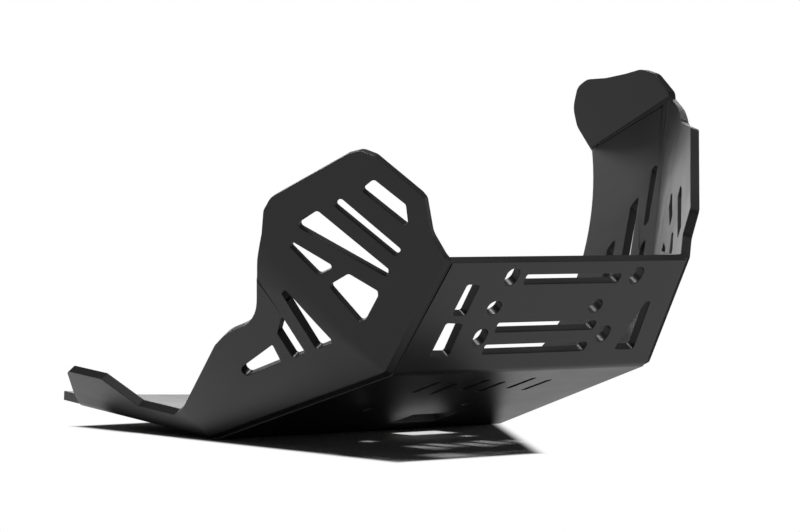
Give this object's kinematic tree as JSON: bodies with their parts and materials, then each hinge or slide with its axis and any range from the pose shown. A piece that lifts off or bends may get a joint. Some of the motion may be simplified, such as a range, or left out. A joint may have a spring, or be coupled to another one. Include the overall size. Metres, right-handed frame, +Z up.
{
  "type": "motorcycle skid plate",
  "caption": "Black plastic skid plate for a motorcycle: a folded sheet with a slotted front, a rising bottom, a tail with flanges, and two perforated side wings.",
  "frame": {"origin": "middle of the fold under the engine, on the underside, where the plate hangs lowest", "axes": "X across the motorcycle, Y to its rear, Z up, as mounted"},
  "size_m": [0.5529, 0.5353, 0.3147],
  "materials": {
    "plate": "satin black tough plastic sheet, faintly marbled, with sharp cut edges"
  },
  "bodies": {
    "root": {"skid_plate": "plate"}
  },
  "joints": []
}
